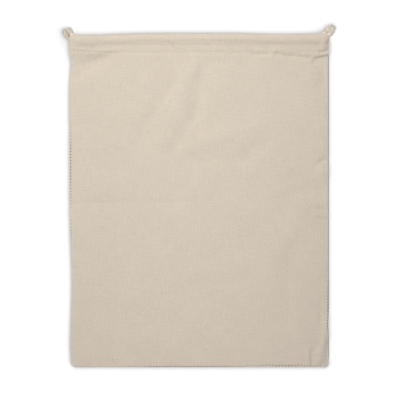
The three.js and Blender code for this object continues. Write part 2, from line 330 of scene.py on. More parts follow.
def linear(hex_colour):
    """Linear red, green and blue of an sRGB hex colour"""
    parts = [int(hex_colour[place:place + 2], 16) / 255 for place in (1, 3, 5)]
    return tuple(part / 12.92 if part <= 0.04045 else ((part + 0.055) / 1.055) ** 2.4 for part in parts)


class ClothSettings(bpy.types.PropertyGroup):
    """Cloth of the bag"""

    colour: bpy.props.FloatVectorProperty(
        name="Cotton colour",
        description="Colour of the unbleached cotton",
        subtype="COLOR",
        size=3,
        min=0.0,
        max=1.0,
        default=linear("#d0c4b4"),
    )
    fleck_colour: bpy.props.FloatVectorProperty(
        name="Fleck colour",
        description="Colour of the specks of cotton husk in the cloth",
        subtype="COLOR",
        size=3,
        min=0.0,
        max=1.0,
        default=linear("#8f7d62"),
    )
    thickness: bpy.props.FloatProperty(
        name="Cloth thickness",
        description="Thickness of one layer of cloth",
        subtype="DISTANCE",
        unit="LENGTH",
        min=0.0002,
        max=0.0008,
        default=0.0004,
    )
    fold_strength: bpy.props.FloatProperty(
        name="Fold strength",
        description="Height of the soft folds compared with the solids",
        subtype="FACTOR",
        min=0.0,
        max=2.0,
        default=1.0,
    )


class CordSettings(bpy.types.PropertyGroup):
    """Drawcords of the bag"""

    colour: bpy.props.FloatVectorProperty(
        name="Cord colour",
        description="Colour of the twisted cotton cord",
        subtype="COLOR",
        size=3,
        min=0.0,
        max=1.0,
        default=linear("#e6dccd"),
    )
    fibre_count: bpy.props.IntProperty(
        name="Loose fibres",
        description="Number of loose fibres at each cut end of a cord",
        min=0,
        max=400,
        default=140,
    )


class StitchSettings(bpy.types.PropertyGroup):
    """Sewing of the bag"""

    colour: bpy.props.FloatVectorProperty(
        name="Thread colour",
        description="Colour of the sewing thread",
        subtype="COLOR",
        size=3,
        min=0.0,
        max=1.0,
        default=linear("#d2c5af"),
    )
    # dark colour of the right seam's thread, which paints the shade of the seam
    painted_seam_shade_colour: bpy.props.FloatVectorProperty(
        name="Seam thread colour with painted shade",
        description="Colour of the thread in the shade of the seams",
        subtype="COLOR",
        size=3,
        min=0.0,
        max=1.0,
        default=linear("#6e5f4a"),
    )
    # dark colour of the edge stitches, which paints the shade of the gaps between them
    painted_gap_shade_colour: bpy.props.FloatVectorProperty(
        name="Stitch colour with painted gap shade",
        description="Dark colour of the edge stitches, painted shade of the gaps between them",
        subtype="COLOR",
        size=3,
        min=0.0,
        max=1.0,
        default=linear("#3d3226"),
    )
    thread_diameter: bpy.props.FloatProperty(
        name="Thread thickness",
        description="Thickness of the sewing thread",
        subtype="DISTANCE",
        unit="LENGTH",
        min=0.0002,
        max=0.001,
        default=0.0005,
    )


class StageSettings(bpy.types.PropertyGroup):
    """Floor, light and camera"""

    view_width: bpy.props.FloatProperty(
        name="View width",
        description="Width of the floor that the camera sees",
        subtype="DISTANCE",
        unit="LENGTH",
        min=0.1,
        max=3.0,
        default=0.464,
    )
    dome_strength: bpy.props.FloatProperty(
        name="Dome light",
        description="Strength of the even light from all round",
        min=0.0,
        max=5.0,
        default=0.479,
    )
    key_power: bpy.props.FloatProperty(
        name="Key light",
        description="Power of the soft light from the left",
        subtype="POWER",
        unit="POWER",
        min=0.0,
        max=100.0,
        default=4.5,
    )
    fill_power: bpy.props.FloatProperty(
        name="Fill light",
        description="Power of the soft light above the mouth of the bag",
        subtype="POWER",
        unit="POWER",
        min=0.0,
        max=100.0,
        default=2.3,
    )
    strip_power: bpy.props.FloatProperty(
        name="Strip light",
        description="Power of the long soft light over the middle of the bag",
        subtype="POWER",
        unit="POWER",
        min=0.0,
        max=100.0,
        default=0.276,
    )
    floor_light: bpy.props.FloatProperty(
        name="Floor light",
        description="Brightness that the floor's own lamps give it, where 1 is white",
        min=0.0,
        max=2.0,
        default=0.869,
    )


class BagSettings(bpy.types.PropertyGroup):
    """Sizes and colours of the whole bag"""

    cloth: bpy.props.PointerProperty(type=ClothSettings)
    cord: bpy.props.PointerProperty(type=CordSettings)
    stitch: bpy.props.PointerProperty(type=StitchSettings)
    stage: bpy.props.PointerProperty(type=StageSettings)


# Shape functions
def bell(share):
    return np.exp(-share * share)


def smoothstep(value, low, high):
    share = np.clip((value - low) / (high - low), 0, 1)
    return share * share * (3 - 2 * share)


def blend(start, end, share):
    return start + (end - start) * share


def fold_height(fold, x, y):
    """Height that one fold adds at a place: a soft bell round a straight line"""
    run_x = fold.to_x - fold.from_x
    run_y = fold.to_y - fold.from_y
    share = ((x - fold.from_x) * run_x + (y - fold.from_y) * run_y) / (run_x * run_x + run_y * run_y)
    along = np.clip(share, 0, 1)
    away = np.hypot(x - fold.from_x - along * run_x, y - fold.from_y - along * run_y)
    return fold.height * bell(away / fold.half_width)


def fold_sum(folds, x, y):
    return sum(fold_height(fold, x, y) for fold in folds)


def casing_rise(y):
    """Rise of the casing from its stitches to the ridge over the cord, from 0 to 1"""
    share = np.clip((y - STITCH_Y) / (RIDGE_Y - STITCH_Y), 0, 1)
    rate = 1 / ((1 - EASE_FROM) * (1 + EASE_FROM))
    straight = 2 * rate * (1 - EASE_FROM) * share
    eased = 1 - rate * (1 - share) ** 2
    return np.where(share < EASE_FROM, straight, eased)


def casing_height(layer, y):
    return blend(layer.stitches, layer.cord, casing_rise(y))


def stitch_groove(y):
    return STITCH_GROOVE * bell((y - STITCH_Y) / STITCH_GROOVE_WIDTH)


def ripple(x, y):
    """Faint unevenness of the cloth"""
    return np.array([noise.noise(Vector((x / RIPPLE_LENGTH, place / RIPPLE_LENGTH, 3.7))) for place in y])


def front_cloth_height(x, y, strength):
    """Height of the middle of the front cloth at one x and several y"""
    from_seam = np.maximum(0, np.minimum(HALF_WIDTH - abs(x), y - BOTTOM_Y))
    crown = BODY_CROWN * (1 - np.exp(-from_seam / CROWN_REACH))
    slack = crown / BODY_CROWN
    folds = strength * fold_sum(FOLDS, x, y) + RIPPLE_HEIGHT * ripple(x, y)
    lowest = blend(SUNK_SEAM_Z, SUNK_Z, slack)
    creases = fold_sum(CREASES, x, y)
    body = np.maximum(lowest, SEAM_Z + crown + slack * folds + creases)
    lifted = smoothstep(y, STITCH_Y - CASING_FALL, HEM_END_Y - HEM_CLEARANCE)
    below = np.maximum(lowest, blend(body, FRONT_CLOTH_Z.stitches + creases, lifted))
    casing = casing_height(FRONT_CLOTH_Z, y) + fold_sum(CASING_CREASES, x, y)
    return np.where(y >= STITCH_Y, casing, below) - stitch_groove(y)


def back_cloth_height(x, y, strength):
    return BACK_CLOTH_Z + stitch_groove(y)


def side_reach(side, y, casing_end):
    """How far the cloth reaches to one side, cut off square to the cord at the end of the casing"""
    waves = [wave for wave in SIDE_WAVES if wave.side == side]
    drawn_in = sum(wave.depth * bell((y - wave.y) / wave.spread) for wave in waves)
    radius = BOTTOM_CORNER_RADIUS[side]
    into_corner = np.clip(BOTTOM_Y + radius - y, 0, radius)
    rounded = radius - np.sqrt(radius * radius - into_corner * into_corner)
    return np.minimum(HALF_WIDTH - drawn_in - rounded, casing_end - (y - CORD_Y))


def seam_roll(edge, place):
    """How far the front cloth is drawn in from the back one where the seam rolls to the front"""
    rolls = [roll for roll in SEAM_ROLLS if roll.edge == edge]
    faded = [
        roll.inset
        * smoothstep(place, roll.start - ROLL_FADE, roll.start + ROLL_FADE)
        * (1 - smoothstep(place, roll.end - ROLL_FADE, roll.end + ROLL_FADE))
        for roll in rolls
    ]
    return sum(faded)


def smooth_route(rows):
    """Points of the smooth curve through the rows of a route, with centripetal spacing as in the solids"""
    rows = [Vector(row) for row in rows]
    rows = [2 * rows[0] - rows[1], *rows, 2 * rows[-1] - rows[-2]]
    points = []
    for before, start, end, after in zip(rows, rows[1:], rows[2:], rows[3:]):
        lead = math.sqrt((start - before).length)
        span = math.sqrt((end - start).length)
        trail = math.sqrt((after - end).length)
        leave = span * ((start - before) / lead - (end - before) / (lead + span) + (end - start) / span)
        arrive = span * ((end - start) / span - (after - start) / (span + trail) + (after - end) / trail)
        for step in range(ROUTE_STEPS):
            t = step / ROUTE_STEPS
            points.append(
                start * (2 * t**3 - 3 * t**2 + 1)
                + leave * (t**3 - 2 * t**2 + t)
                + end * (3 * t**2 - 2 * t**3)
                + arrive * (t**3 - t**2)
            )
    points.append(rows[-2])
    return points


def girth(side, to_cut):
    """Share of the cord's thickness that a strand has at a distance from its cut"""
    return blend(CUT_GIRTH[side], 1, float(smoothstep(to_cut, 0, TAPER_LENGTH)))


def mouth_lift(points, x):
    """How far the cord lies past its straight line at x, which the mouth edge follows"""
    return np.interp(x, [point.x for point in points], [point.y for point in points]) - CORD_Y


Panel = namedtuple("Panel", "name node cord route casing_end outer_side cloth_height hem raise_by spacing")
PANELS = {
    "front": Panel(
        name="front_cloth",
        node="front_panel",
        cord="drawcord_front",
        route=smooth_route(FRONT_ROUTE),
        casing_end={"left": 146.8, "right": 149.5},
        outer_side=1,
        cloth_height=front_cloth_height,
        hem=FRONT_HEM_Z,
        raise_by=CORNER_RAISE,
        spacing=1.8,
    ),
    "back": Panel(
        name="back_cloth",
        node="back_panel",
        cord="drawcord_back",
        route=smooth_route(BACK_ROUTE),
        casing_end={"left": 149.5, "right": 145},
        outer_side=-1,
        cloth_height=back_cloth_height,
        hem=BACK_HEM_Z,
        raise_by=0,
        spacing=4.5,
    ),
}


def even_steps(start, end, spacing):
    """Places from start up to but without end"""
    count = max(1, round(abs(end - start) / spacing))
    return [start + (end - start) * step / count for step in range(count)]


def panel_columns(panel):
    """Share of the reach and turn of the lip for each column, from left to right"""
    flat = HALF_WIDTH - LIP_REACH
    edge = [step / flat for step in EDGE_STEPS]
    inner = 1 - edge[-1]
    middle = even_steps(-inner, inner, panel.spacing / flat)
    shares = [-1 + step for step in edge[:-1]] + middle + [1 - step for step in reversed(edge)]
    left = [(-1, lip) for lip in reversed(LIP_STEPS)]
    right = [(1, lip) for lip in LIP_STEPS]
    return left + [(share, Lip(0, 0)) for share in shares] + right


def panel_points(panel, strength):
    """Points of the outer face of one panel, as columns of rows: bottom seam, mouth edge, end of the hem"""
    flat_y = BOTTOM_Y + LIP_REACH
    bottom = [flat_y + step for step in EDGE_STEPS]
    fall_y = STITCH_Y - CASING_FALL
    outer_y = np.array(
        bottom[:-1]
        + even_steps(bottom[-1], fall_y, panel.spacing)
        + even_steps(fall_y, STITCH_Y, FALL_STEP)
        + even_steps(STITCH_Y, CORD_Y, CASING_STEP)
        + [CORD_Y]
    )
    turn = np.linspace(0, math.pi, FOLD_STEPS + 1)[1:-1]
    hem_y = np.array(even_steps(CORD_Y, HEM_END_Y, HEM_STEP) + [HEM_END_Y])
    lips = [*reversed(LIP_STEPS)]
    lip_turn = np.radians([lip.turn for lip in lips])
    lip_under = np.array([lip.under for lip in lips])
    row_drop = np.concatenate([(1 - np.cos(lip_turn)) / 2, np.zeros(len(outer_y) + len(turn) + len(hem_y))])
    columns = []
    for share, lip in panel_columns(panel):
        side = "left" if share < 0 else "right"
        x = share * (HALF_WIDTH - LIP_REACH)
        outer_z = panel.cloth_height(x, outer_y, strength)
        middle_z = (outer_z[-1] + panel.hem.cord) / 2
        fold_z = middle_z + (outer_z[-1] - panel.hem.cord) / 2 * np.cos(turn)
        y = np.concatenate([outer_y, CORD_Y + FOLD_REACH * np.sin(turn), hem_y])
        z = np.concatenate([outer_z, fold_z, casing_height(panel.hem, hem_y)])
        run_y = np.gradient(y)
        run_z = np.gradient(z)
        run = np.hypot(run_y, run_z)
        lip_angle = math.radians(lip.turn)
        drop = LIP_DROP * np.maximum(row_drop, (1 - math.cos(lip_angle)) / 2)
        offset = panel.outer_side * (LAYER_HALF - drop)
        count = len(lips)
        roll = seam_roll("bottom", x) if panel.outer_side > 0 else 0
        fade_up = bell((y - flat_y) / ROLL_FADE)
        outer_rows_y = y - offset[count:] * run_z / run + roll * fade_up
        outer_rows_z = z + offset[count:] * run_y / run
        lip_y = flat_y + roll - LIP_REACH * np.sin(lip_turn) + lip_under
        lip_z = z[0] + offset[:count]
        y = np.concatenate([lip_y, outer_rows_y])
        z = np.concatenate([lip_z, outer_rows_z])
        reach = side_reach(side, y, panel.casing_end[side])
        if panel.outer_side > 0:
            reach = reach - seam_roll(side, y)
        turned_x = np.sign(share) * (LIP_REACH * math.sin(lip_angle) - lip.under)
        x = share * (reach - LIP_REACH) + turned_x
        drawn = np.clip((y - STITCH_Y) / (CORD_Y - STITCH_Y), 0, 1) ** 2
        corner = smoothstep(np.abs(x), CORNER_RAISE_FROM, CORNER_RAISE_TO)
        lifted_y = y + drawn * mouth_lift(panel.route, x)
        raised_z = z + panel.raise_by * corner * casing_rise(y)
        columns.append(np.column_stack([x, lifted_y, raised_z]))
    return np.array(columns)


def outer_height(panel, x, y, strength):
    """Height of the outer face of a panel's body or casing at one place"""
    return float(panel.cloth_height(x, np.array([y]), strength)[0]) + panel.outer_side * LAYER_HALF


def new_object(name, bm, material):
    """Object of a finished bmesh, with smooth faces and one material"""
    mesh = bpy.data.meshes.new(name)
    for face in bm.faces:
        face.smooth = True
    bm.to_mesh(mesh)
    bm.free()
    mesh.materials.append(material)
    piece = bpy.data.objects.new(name, mesh)
    bpy.context.scene.collection.objects.link(piece)
    return piece


def sheet_bmesh(points):
    """Grid of cloth laid through columns of points, with a UV map in metres of cloth"""
    columns, rows = points.shape[:2]
    bm = bmesh.new()
    uv = bm.loops.layers.uv.new(UV_NAME)
    bmesh.ops.create_grid(bm, x_segments=columns - 1, y_segments=rows - 1, size=0.5)
    middle = points[columns // 2]
    along = np.concatenate([[0], np.cumsum(np.linalg.norm(np.diff(middle, axis=0), axis=1))])
    body = points[:, rows // 2]
    across = np.concatenate([[0], np.cumsum(np.linalg.norm(np.diff(body, axis=0), axis=1))])
    places = {}
    for vert in bm.verts:
        column = round((vert.co.x + 0.5) * (columns - 1))
        row = round((vert.co.y + 0.5) * (rows - 1))
        places[vert] = (across[column] * MM, along[row] * MM)
        vert.co = points[column, row] * MM
    for face in bm.faces:
        for loop in face.loops:
            loop[uv].uv = places[loop.vert]
    return bm


def sweep(bm, rings, uv=None, along=None):
    """Closed tube through rings of points: the first ring is a circle, which is extruded to each next ring"""
    sides = len(rings[0])
    side_of = bm.verts.layers.int.get("side") or bm.verts.layers.int.new("side")
    ring_of = bm.verts.layers.int.get("ring") or bm.verts.layers.int.new("ring")
    verts = bmesh.ops.create_circle(bm, segments=sides, radius=1.0)["verts"]
    for side, vert in enumerate(verts):
        vert[side_of] = side
        vert[ring_of] = 0
        vert.co = rings[0][side]
    edges = list({edge for vert in verts for edge in vert.link_edges})
    first = edges
    faces = []
    for ring, places in enumerate(rings[1:], start=1):
        made = bmesh.ops.extrude_edge_only(bm, edges=edges)["geom"]
        edges = [item for item in made if isinstance(item, bmesh.types.BMEdge)]
        faces += [item for item in made if isinstance(item, bmesh.types.BMFace)]
        for vert in (item for item in made if isinstance(item, bmesh.types.BMVert)):
            vert[ring_of] = ring
            vert.co = places[vert[side_of]]
    rim = set(edges)
    edges = [edge for edge in {e for f in faces for e in f.edges} if edge in rim and edge.is_boundary]
    faces += bmesh.ops.edgeloop_fill(bm, edges=edges)["faces"]
    faces += bmesh.ops.edgeloop_fill(bm, edges=first)["faces"]
    if uv is not None:
        for face in faces:
            wraps = {loop.vert[side_of] for loop in face.loops} >= {0, sides - 1} and len(face.loops) == 4
            for loop in face.loops:
                side = loop.vert[side_of]
                if wraps and side == 0:
                    side = sides
                loop[uv].uv = (side / sides * math.pi * CORD_DIAMETER * MM, along[loop.vert[ring_of]] * MM)
    return faces


def ring_points(centre, heading, width, height, sides, profile=None):
    """Ring round a centre, across its heading; profile gives the share of the radius at each angle"""
    across = Vector((0, 0, 1)).cross(heading).normalized()
    over = heading.cross(across).normalized()
    ring = []
    for side in range(sides):
        angle = 2 * math.pi * side / sides
        share = profile(angle) if profile else 1
        ring.append(
            (centre + across * (math.sin(angle) * share * width / 2) + over * (math.cos(angle) * share * height / 2))
            * MM
        )
    return ring


def headings(points):
    """Direction of a line of points at each of them"""
    ends = [points[0], *points, points[-1]]
    return [(after - before).normalized() for before, after in zip(ends, ends[2:])]


# Materials
def add_node(tree, kind, inputs=None, **settings):
    """Adds a node, sets what it holds, and fills its inputs with values or joins them to sockets"""
    node = tree.nodes.new(kind)
    for name, value in settings.items():
        setattr(node, name, value)
    for name, value in (inputs or {}).items():
        if isinstance(value, bpy.types.NodeSocket):
            tree.links.new(value, node.inputs[name])
        else:
            node.inputs[name].default_value = value
    return node


def new_material(name):
    """Material with an empty tree but for its output"""
    material = bpy.data.materials.new(name)
    material.use_nodes = True
    tree = material.node_tree
    tree.nodes.clear()
    return material, tree, tree.nodes.new("ShaderNodeOutputMaterial")


def unbleached_cotton(settings):
    """Unbleached plain-weave cotton: matt, with uneven yarns, husk flecks and a soft mottle"""
    material, tree, output = new_material("unbleached_cotton")
    # Real threads are about 0.45 mm apart; they are drawn 0.9 mm apart so that the weave can show
    thread_spacing = 0.9 * MM
    slub_width = 1.2 * MM
    slub_length = 14 * MM
    fleck_spacing = 11 * MM
    fleck_radius = 0.5 * MM
    speckle_size = 1.5 * MM
    mottle_size = 30 * MM
    cloth = add_node(tree, "ShaderNodeUVMap", uv_map=UV_NAME).outputs["UV"]
    parts = add_node(tree, "ShaderNodeSeparateXYZ", {"Vector": cloth}).outputs
    threads = []
    for axis in ("X", "Y"):
        turned = add_node(
            tree, "ShaderNodeMath", {0: parts[axis], 1: math.pi / thread_spacing}, operation="MULTIPLY"
        )
        threads.append(add_node(tree, "ShaderNodeMath", {0: turned.outputs[0]}, operation="SINE").outputs[0])
    crossing = add_node(tree, "ShaderNodeMath", {0: threads[0], 1: threads[1]}, operation="MULTIPLY").outputs[0]
    weave = add_node(tree, "ShaderNodeMath", {0: crossing}, operation="ABSOLUTE").outputs[0]
    slubs = []
    for scale in ((1 / slub_width, 1 / slub_length, 1), (1 / slub_length, 1 / slub_width, 1)):
        stretched = add_node(tree, "ShaderNodeMapping", {"Vector": cloth, "Scale": scale}).outputs[0]
        slubs.append(
            add_node(
                tree,
                "ShaderNodeTexNoise",
                {"Vector": stretched, "Scale": 1.0, "Detail": 2.0, "Roughness": 0.6},
                noise_dimensions="2D",
            ).outputs[0]
        )
    yarn = add_node(tree, "ShaderNodeMath", {0: slubs[0], 1: slubs[1]}, operation="ADD").outputs[0]
    yarn_shade = add_node(
        tree,
        "ShaderNodeMapRange",
        {"Value": yarn, "From Min": 0.6, "From Max": 1.4, "To Min": 0.945, "To Max": 1.055},
    ).outputs[0]
    mottle = add_node(
        tree,
        "ShaderNodeTexNoise",
        {"Vector": cloth, "Scale": 1 / mottle_size, "Detail": 3.0},
        noise_dimensions="2D",
    ).outputs[0]
    mottle_shade = add_node(
        tree, "ShaderNodeMapRange", {"Value": mottle, "From Min": 0.3, "From Max": 0.7, "To Min": 0.988, "To Max": 1.012}
    ).outputs[0]
    speckle = add_node(
        tree,
        "ShaderNodeTexNoise",
        {"Vector": cloth, "Scale": 1 / speckle_size, "Detail": 1.0},
        noise_dimensions="2D",
    ).outputs[0]
    speckle_shade = add_node(
        tree, "ShaderNodeMapRange", {"Value": speckle, "From Min": 0.3, "From Max": 0.7, "To Min": 0.965, "To Max": 1.035}
    ).outputs[0]
    even = add_node(tree, "ShaderNodeMath", {0: yarn_shade, 1: mottle_shade}, operation="MULTIPLY").outputs[0]
    shade = add_node(tree, "ShaderNodeMath", {0: even, 1: speckle_shade}, operation="MULTIPLY").outputs[0]
    shaded = add_node(
        tree,
        "ShaderNodeVectorMath",
        {0: tuple(settings.colour), "Scale": shade},
        operation="SCALE",
    ).outputs[0]
    husks = add_node(
        tree, "ShaderNodeTexVoronoi", {"Vector": cloth, "Scale": 1 / fleck_spacing}, voronoi_dimensions="2D"
    ).outputs
    near = add_node(
        tree,
        "ShaderNodeMapRange",
        {
            "Value": husks["Distance"],
            "From Min": 0.4 * fleck_radius / fleck_spacing,
            "From Max": fleck_radius / fleck_spacing,
            "To Min": 0.8,
            "To Max": 0.0,
        },
    ).outputs[0]
    chosen = add_node(
        tree, "ShaderNodeMath", {0: husks["Color"], 1: 0.45}, operation="LESS_THAN"
    ).outputs[0]
    fleck = add_node(tree, "ShaderNodeMath", {0: near, 1: chosen}, operation="MULTIPLY").outputs[0]
    colour = add_node(
        tree,
        "ShaderNodeMix",
        {"Factor": fleck, "A": shaded, "B": (*settings.fleck_colour, 1)},
        data_type="RGBA",
    )
    height = add_node(
        tree, "ShaderNodeMath", {0: yarn, 1: 0.8, 2: weave}, operation="MULTIPLY_ADD"
    ).outputs[0]
    bump = add_node(tree, "ShaderNodeBump", {"Height": height, "Strength": 0.6, "Distance": 0.12 * MM})
    rough = add_node(
        tree, "ShaderNodeMapRange", {"Value": yarn, "From Min": 0.6, "From Max": 1.4, "To Min": 0.86, "To Max": 1.0}
    )
    shader = add_node(
        tree,
        "ShaderNodeBsdfPrincipled",
        {
            "Base Color": colour.outputs["Result"],
            "Roughness": rough.outputs[0],
            "Normal": bump.outputs[0],
            "Specular IOR Level": 0.2,
            "Sheen Weight": 0.12,
            "Sheen Roughness": 0.5,
        },
    )
    tree.links.new(shader.outputs[0], output.inputs["Surface"])
    return material


def twisted_cotton(settings):
    """Soft spun cotton of the cord: matt yarn, with fine fibres that run along its plies"""
    material, tree, output = new_material("twisted_cotton_cord")
    fibre_width = 0.35 * MM
    fibre_length = 5 * MM
    surface = add_node(tree, "ShaderNodeUVMap", uv_map=UV_NAME).outputs["UV"]
    lay_angle = math.atan(math.pi * CORD_DIAMETER / CORD_LAY)
    turned = add_node(
        tree, "ShaderNodeMapping", {"Vector": surface, "Rotation": (0, 0, lay_angle)}
    ).outputs[0]
    stretched = add_node(
        tree, "ShaderNodeMapping", {"Vector": turned, "Scale": (1 / fibre_width, 1 / fibre_length, 1)}
    ).outputs[0]
    fibres = add_node(
        tree, "ShaderNodeTexNoise", {"Vector": stretched, "Scale": 1.0, "Detail": 3.0}, noise_dimensions="2D"
    ).outputs[0]
    shade = add_node(
        tree, "ShaderNodeMapRange", {"Value": fibres, "From Min": 0.3, "From Max": 0.7, "To Min": 0.88, "To Max": 1.08}
    ).outputs[0]
    colour = add_node(
        tree, "ShaderNodeVectorMath", {0: tuple(settings.colour), "Scale": shade}, operation="SCALE"
    ).outputs[0]
    bump = add_node(tree, "ShaderNodeBump", {"Height": fibres, "Strength": 0.7, "Distance": 0.25 * MM})
    shader = add_node(
        tree,
        "ShaderNodeBsdfPrincipled",
        {
            "Base Color": colour,
            "Roughness": 0.9,
            "Normal": bump.outputs[0],
            "Specular IOR Level": 0.2,
            "Sheen Weight": 0.2,
            "Sheen Roughness": 0.5,
            "Subsurface Weight": 0.35,
            "Subsurface Radius": (1.0, 0.9, 0.75),
            "Subsurface Scale": 2.0 * MM,
        },
    )
    tree.links.new(shader.outputs[0], output.inputs["Surface"])
    return material


def spun_thread(name, colour):
    """Spun sewing thread: matt, a little uneven in colour along its length"""
    material, tree, output = new_material(name)
    twist_length = 0.8 * MM
    place = add_node(tree, "ShaderNodeTexCoord").outputs["Object"]
    twist = add_node(tree, "ShaderNodeTexNoise", {"Vector": place, "Scale": 1 / twist_length, "Detail": 2.0}).outputs[0]
    shade = add_node(
        tree, "ShaderNodeMapRange", {"Value": twist, "From Min": 0.3, "From Max": 0.7, "To Min": 0.85, "To Max": 1.1}
    ).outputs[0]
    shaded = add_node(
        tree, "ShaderNodeVectorMath", {0: tuple(colour), "Scale": shade}, operation="SCALE"
    ).outputs[0]
    bump = add_node(tree, "ShaderNodeBump", {"Height": twist, "Strength": 0.4, "Distance": 0.1 * MM})
    shader = add_node(
        tree,
        "ShaderNodeBsdfPrincipled",
        {"Base Color": shaded, "Roughness": 0.85, "Normal": bump.outputs[0], "Specular IOR Level": 0.25},
    )
    tree.links.new(shader.outputs[0], output.inputs["Surface"])
    return material


class COTTONBAG_OT_panels(bpy.types.Operator):
    """Front and back cloth of the bag, each with its turned edges and its casing"""

    bl_idname = "cottonbag.panels"
    bl_label = "Cloth panels"

    def execute(self, context):
        settings = context.scene.cotton_bag.cloth
        cotton = unbleached_cotton(settings)
        for panel in PANELS.values():
            points = panel_points(panel, settings.fold_strength)
            if panel.outer_side < 0:
                points = points[::-1]
            piece = new_object(panel.name, sheet_bmesh(points), cotton)
            thick = piece.modifiers.new("cloth thickness", "SOLIDIFY")
            thick.thickness = settings.thickness
            thick.offset = -1
            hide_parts(panel.node)
            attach(piece, "root")
        return {"FINISHED"}


class COTTONBAG_OT_drawcords(bpy.types.Operator):
    """Twisted drawcords, flat inside the casings and round at their cut ends, with loose fibres"""

    bl_idname = "cottonbag.drawcords"
    bl_label = "Drawcords"

    def execute(self, context):
        settings = context.scene.cotton_bag.cord
        cotton = twisted_cotton(settings)
        for panel in PANELS.values():
            cord, path = self.make_cord(panel, cotton)
            fibres = self.make_fibres(panel, path, settings.fibre_count, cotton)
        return {"FINISHED"}

    def make_cord(self, panel, material):
        """One cord, with the middles of its rings"""
        ends = panel.casing_end

        def outside(point):
            return max(point.x - ends["right"], -ends["left"] - point.x)

        path = [panel.route[0]]
        travelled = [0.0]
        walked = 0.0
        for here, there in zip(panel.route, panel.route[1:]):
            walked += (there - here).length
            step = CASING_CORD_STEP if outside(there) < -CASING_CORD_STEP else STUB_CORD_STEP
            if walked - travelled[-1] >= step or there is panel.route[-1]:
                path.append(there)
                travelled.append(walked)
        rings = []
        for centre, heading, distance in zip(path, headings(path), travelled):
            free = float(smoothstep(outside(centre), 0, ROUNDING_LENGTH))
            side = "left" if centre.x < 0 else "right"
            thick = CORD_DIAMETER * girth(side, min(distance, walked - distance))
            width = blend(CORD_FLAT_WIDTH * abs(heading.x), thick, free)
            height = blend(CORD_FLAT_HEIGHT, thick, free)

            def plies(angle):
                turn = CORD_PLIES * (angle + 2 * math.pi * distance / CORD_LAY)
                from_ply = math.acos(math.cos(turn)) / CORD_PLIES
                lobe = PLY_OFFSET * math.cos(from_ply) + math.sqrt(
                    PLY_RADIUS**2 - (PLY_OFFSET * math.sin(from_ply)) ** 2
                )
                return blend(1, lobe, free)

            ring = ring_points(centre, heading, width, height, CORD_SIDES, plies)
            rings.append([Vector((spot.x, spot.y, max(spot.z, FLOOR_GAP * MM))) for spot in ring])
        bm = bmesh.new()
        uv = bm.loops.layers.uv.new(UV_NAME)
        sweep(bm, rings, uv, travelled)
        bmesh.ops.recalc_face_normals(bm, faces=bm.faces[:])
        cord = new_object(panel.cord + "_twisted", bm, material)
        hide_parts(panel.cord)
        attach(cord, "root")
        return cord, path

    def make_fibres(self, panel, path, count, material):
        """Loose fibres of the two free ends of a cord: a tuft at each cut, and fuzz along the strand"""
        chance = random.Random(panel.name)
        fibres = []
        for side, points in (("left", path), ("right", path[::-1])):
            outer_half = points[: len(points) // 2]
            strand = [point for point in outer_half if abs(point.x) > panel.casing_end[side] + 1]
            ways = [-way for way in headings(strand)]
            for fibre in range(count * (1 + FUZZ_SHARE)):
                at_cut = fibre < count
                place = 0 if at_cut else chance.randrange(len(strand))
                way = ways[place]
                across = Vector((0, 0, 1)).cross(way).normalized()
                angle = chance.uniform(0, 2 * math.pi)
                out = across * math.sin(angle) + way.cross(across) * math.cos(angle)
                radius = 0.44 * CORD_DIAMETER * girth(side, place * STUB_CORD_STEP)
                if at_cut:
                    root = strand[0] + out * (radius * math.sqrt(chance.random())) - way * 0.6
                    length = chance.uniform(1.0, 3.2)
                    curl = chance.uniform(-0.6, 1.6)
                else:
                    root = strand[place] + out * radius
                    length = chance.uniform(0.6, 2.4)
                    curl = chance.uniform(0.4, 2.0)
                sway = chance.uniform(-0.6, 0.6)
                thick = chance.uniform(0.08, 0.16)
                fibres.append(self.fibre_rings(root, way, out, length, curl, sway, thick))
        tube = bmesh.new()
        tube.loops.layers.uv.new(UV_NAME)
        sweep(tube, fibres[0])
        bmesh.ops.recalc_face_normals(tube, faces=tube.faces[:])
        one = bpy.data.meshes.new("one fibre")
        tube.to_mesh(one)
        tube.free()
        bm = bmesh.new()
        for _ in fibres:
            bm.from_mesh(one)
        bpy.data.meshes.remove(one)
        side_of = bm.verts.layers.int["side"]
        ring_of = bm.verts.layers.int["ring"]
        for index, vert in enumerate(bm.verts):
            rings = fibres[index // (FIBRE_STEPS * FIBRE_SIDES)]
            vert.co = rings[vert[ring_of]][vert[side_of]]
        piece = new_object(panel.cord + "_fibres", bm, material)
        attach(piece, "root")
        return piece

    def fibre_rings(self, root, way, out, length, curl, sway, thick):
        """Rings of one loose fibre from its root along its way, curling outwards and swaying to one side"""
        shares = [step / (FIBRE_STEPS - 1) for step in range(FIBRE_STEPS)]
        aside = way.cross(out)
        line = []
        for share in shares:
            bend = out * (curl * share * share) + aside * (sway * math.sin(1.5 * math.pi * share))
            spot = root + way * (length * share) + bend
            spot.z = max(spot.z, thick)
            line.append(spot)
        widths = [thick * (1.15 - share) for share in shares]
        return [
            ring_points(spot, heading, width, width, FIBRE_SIDES)
            for spot, heading, width in zip(line, headings(line), widths)
        ]


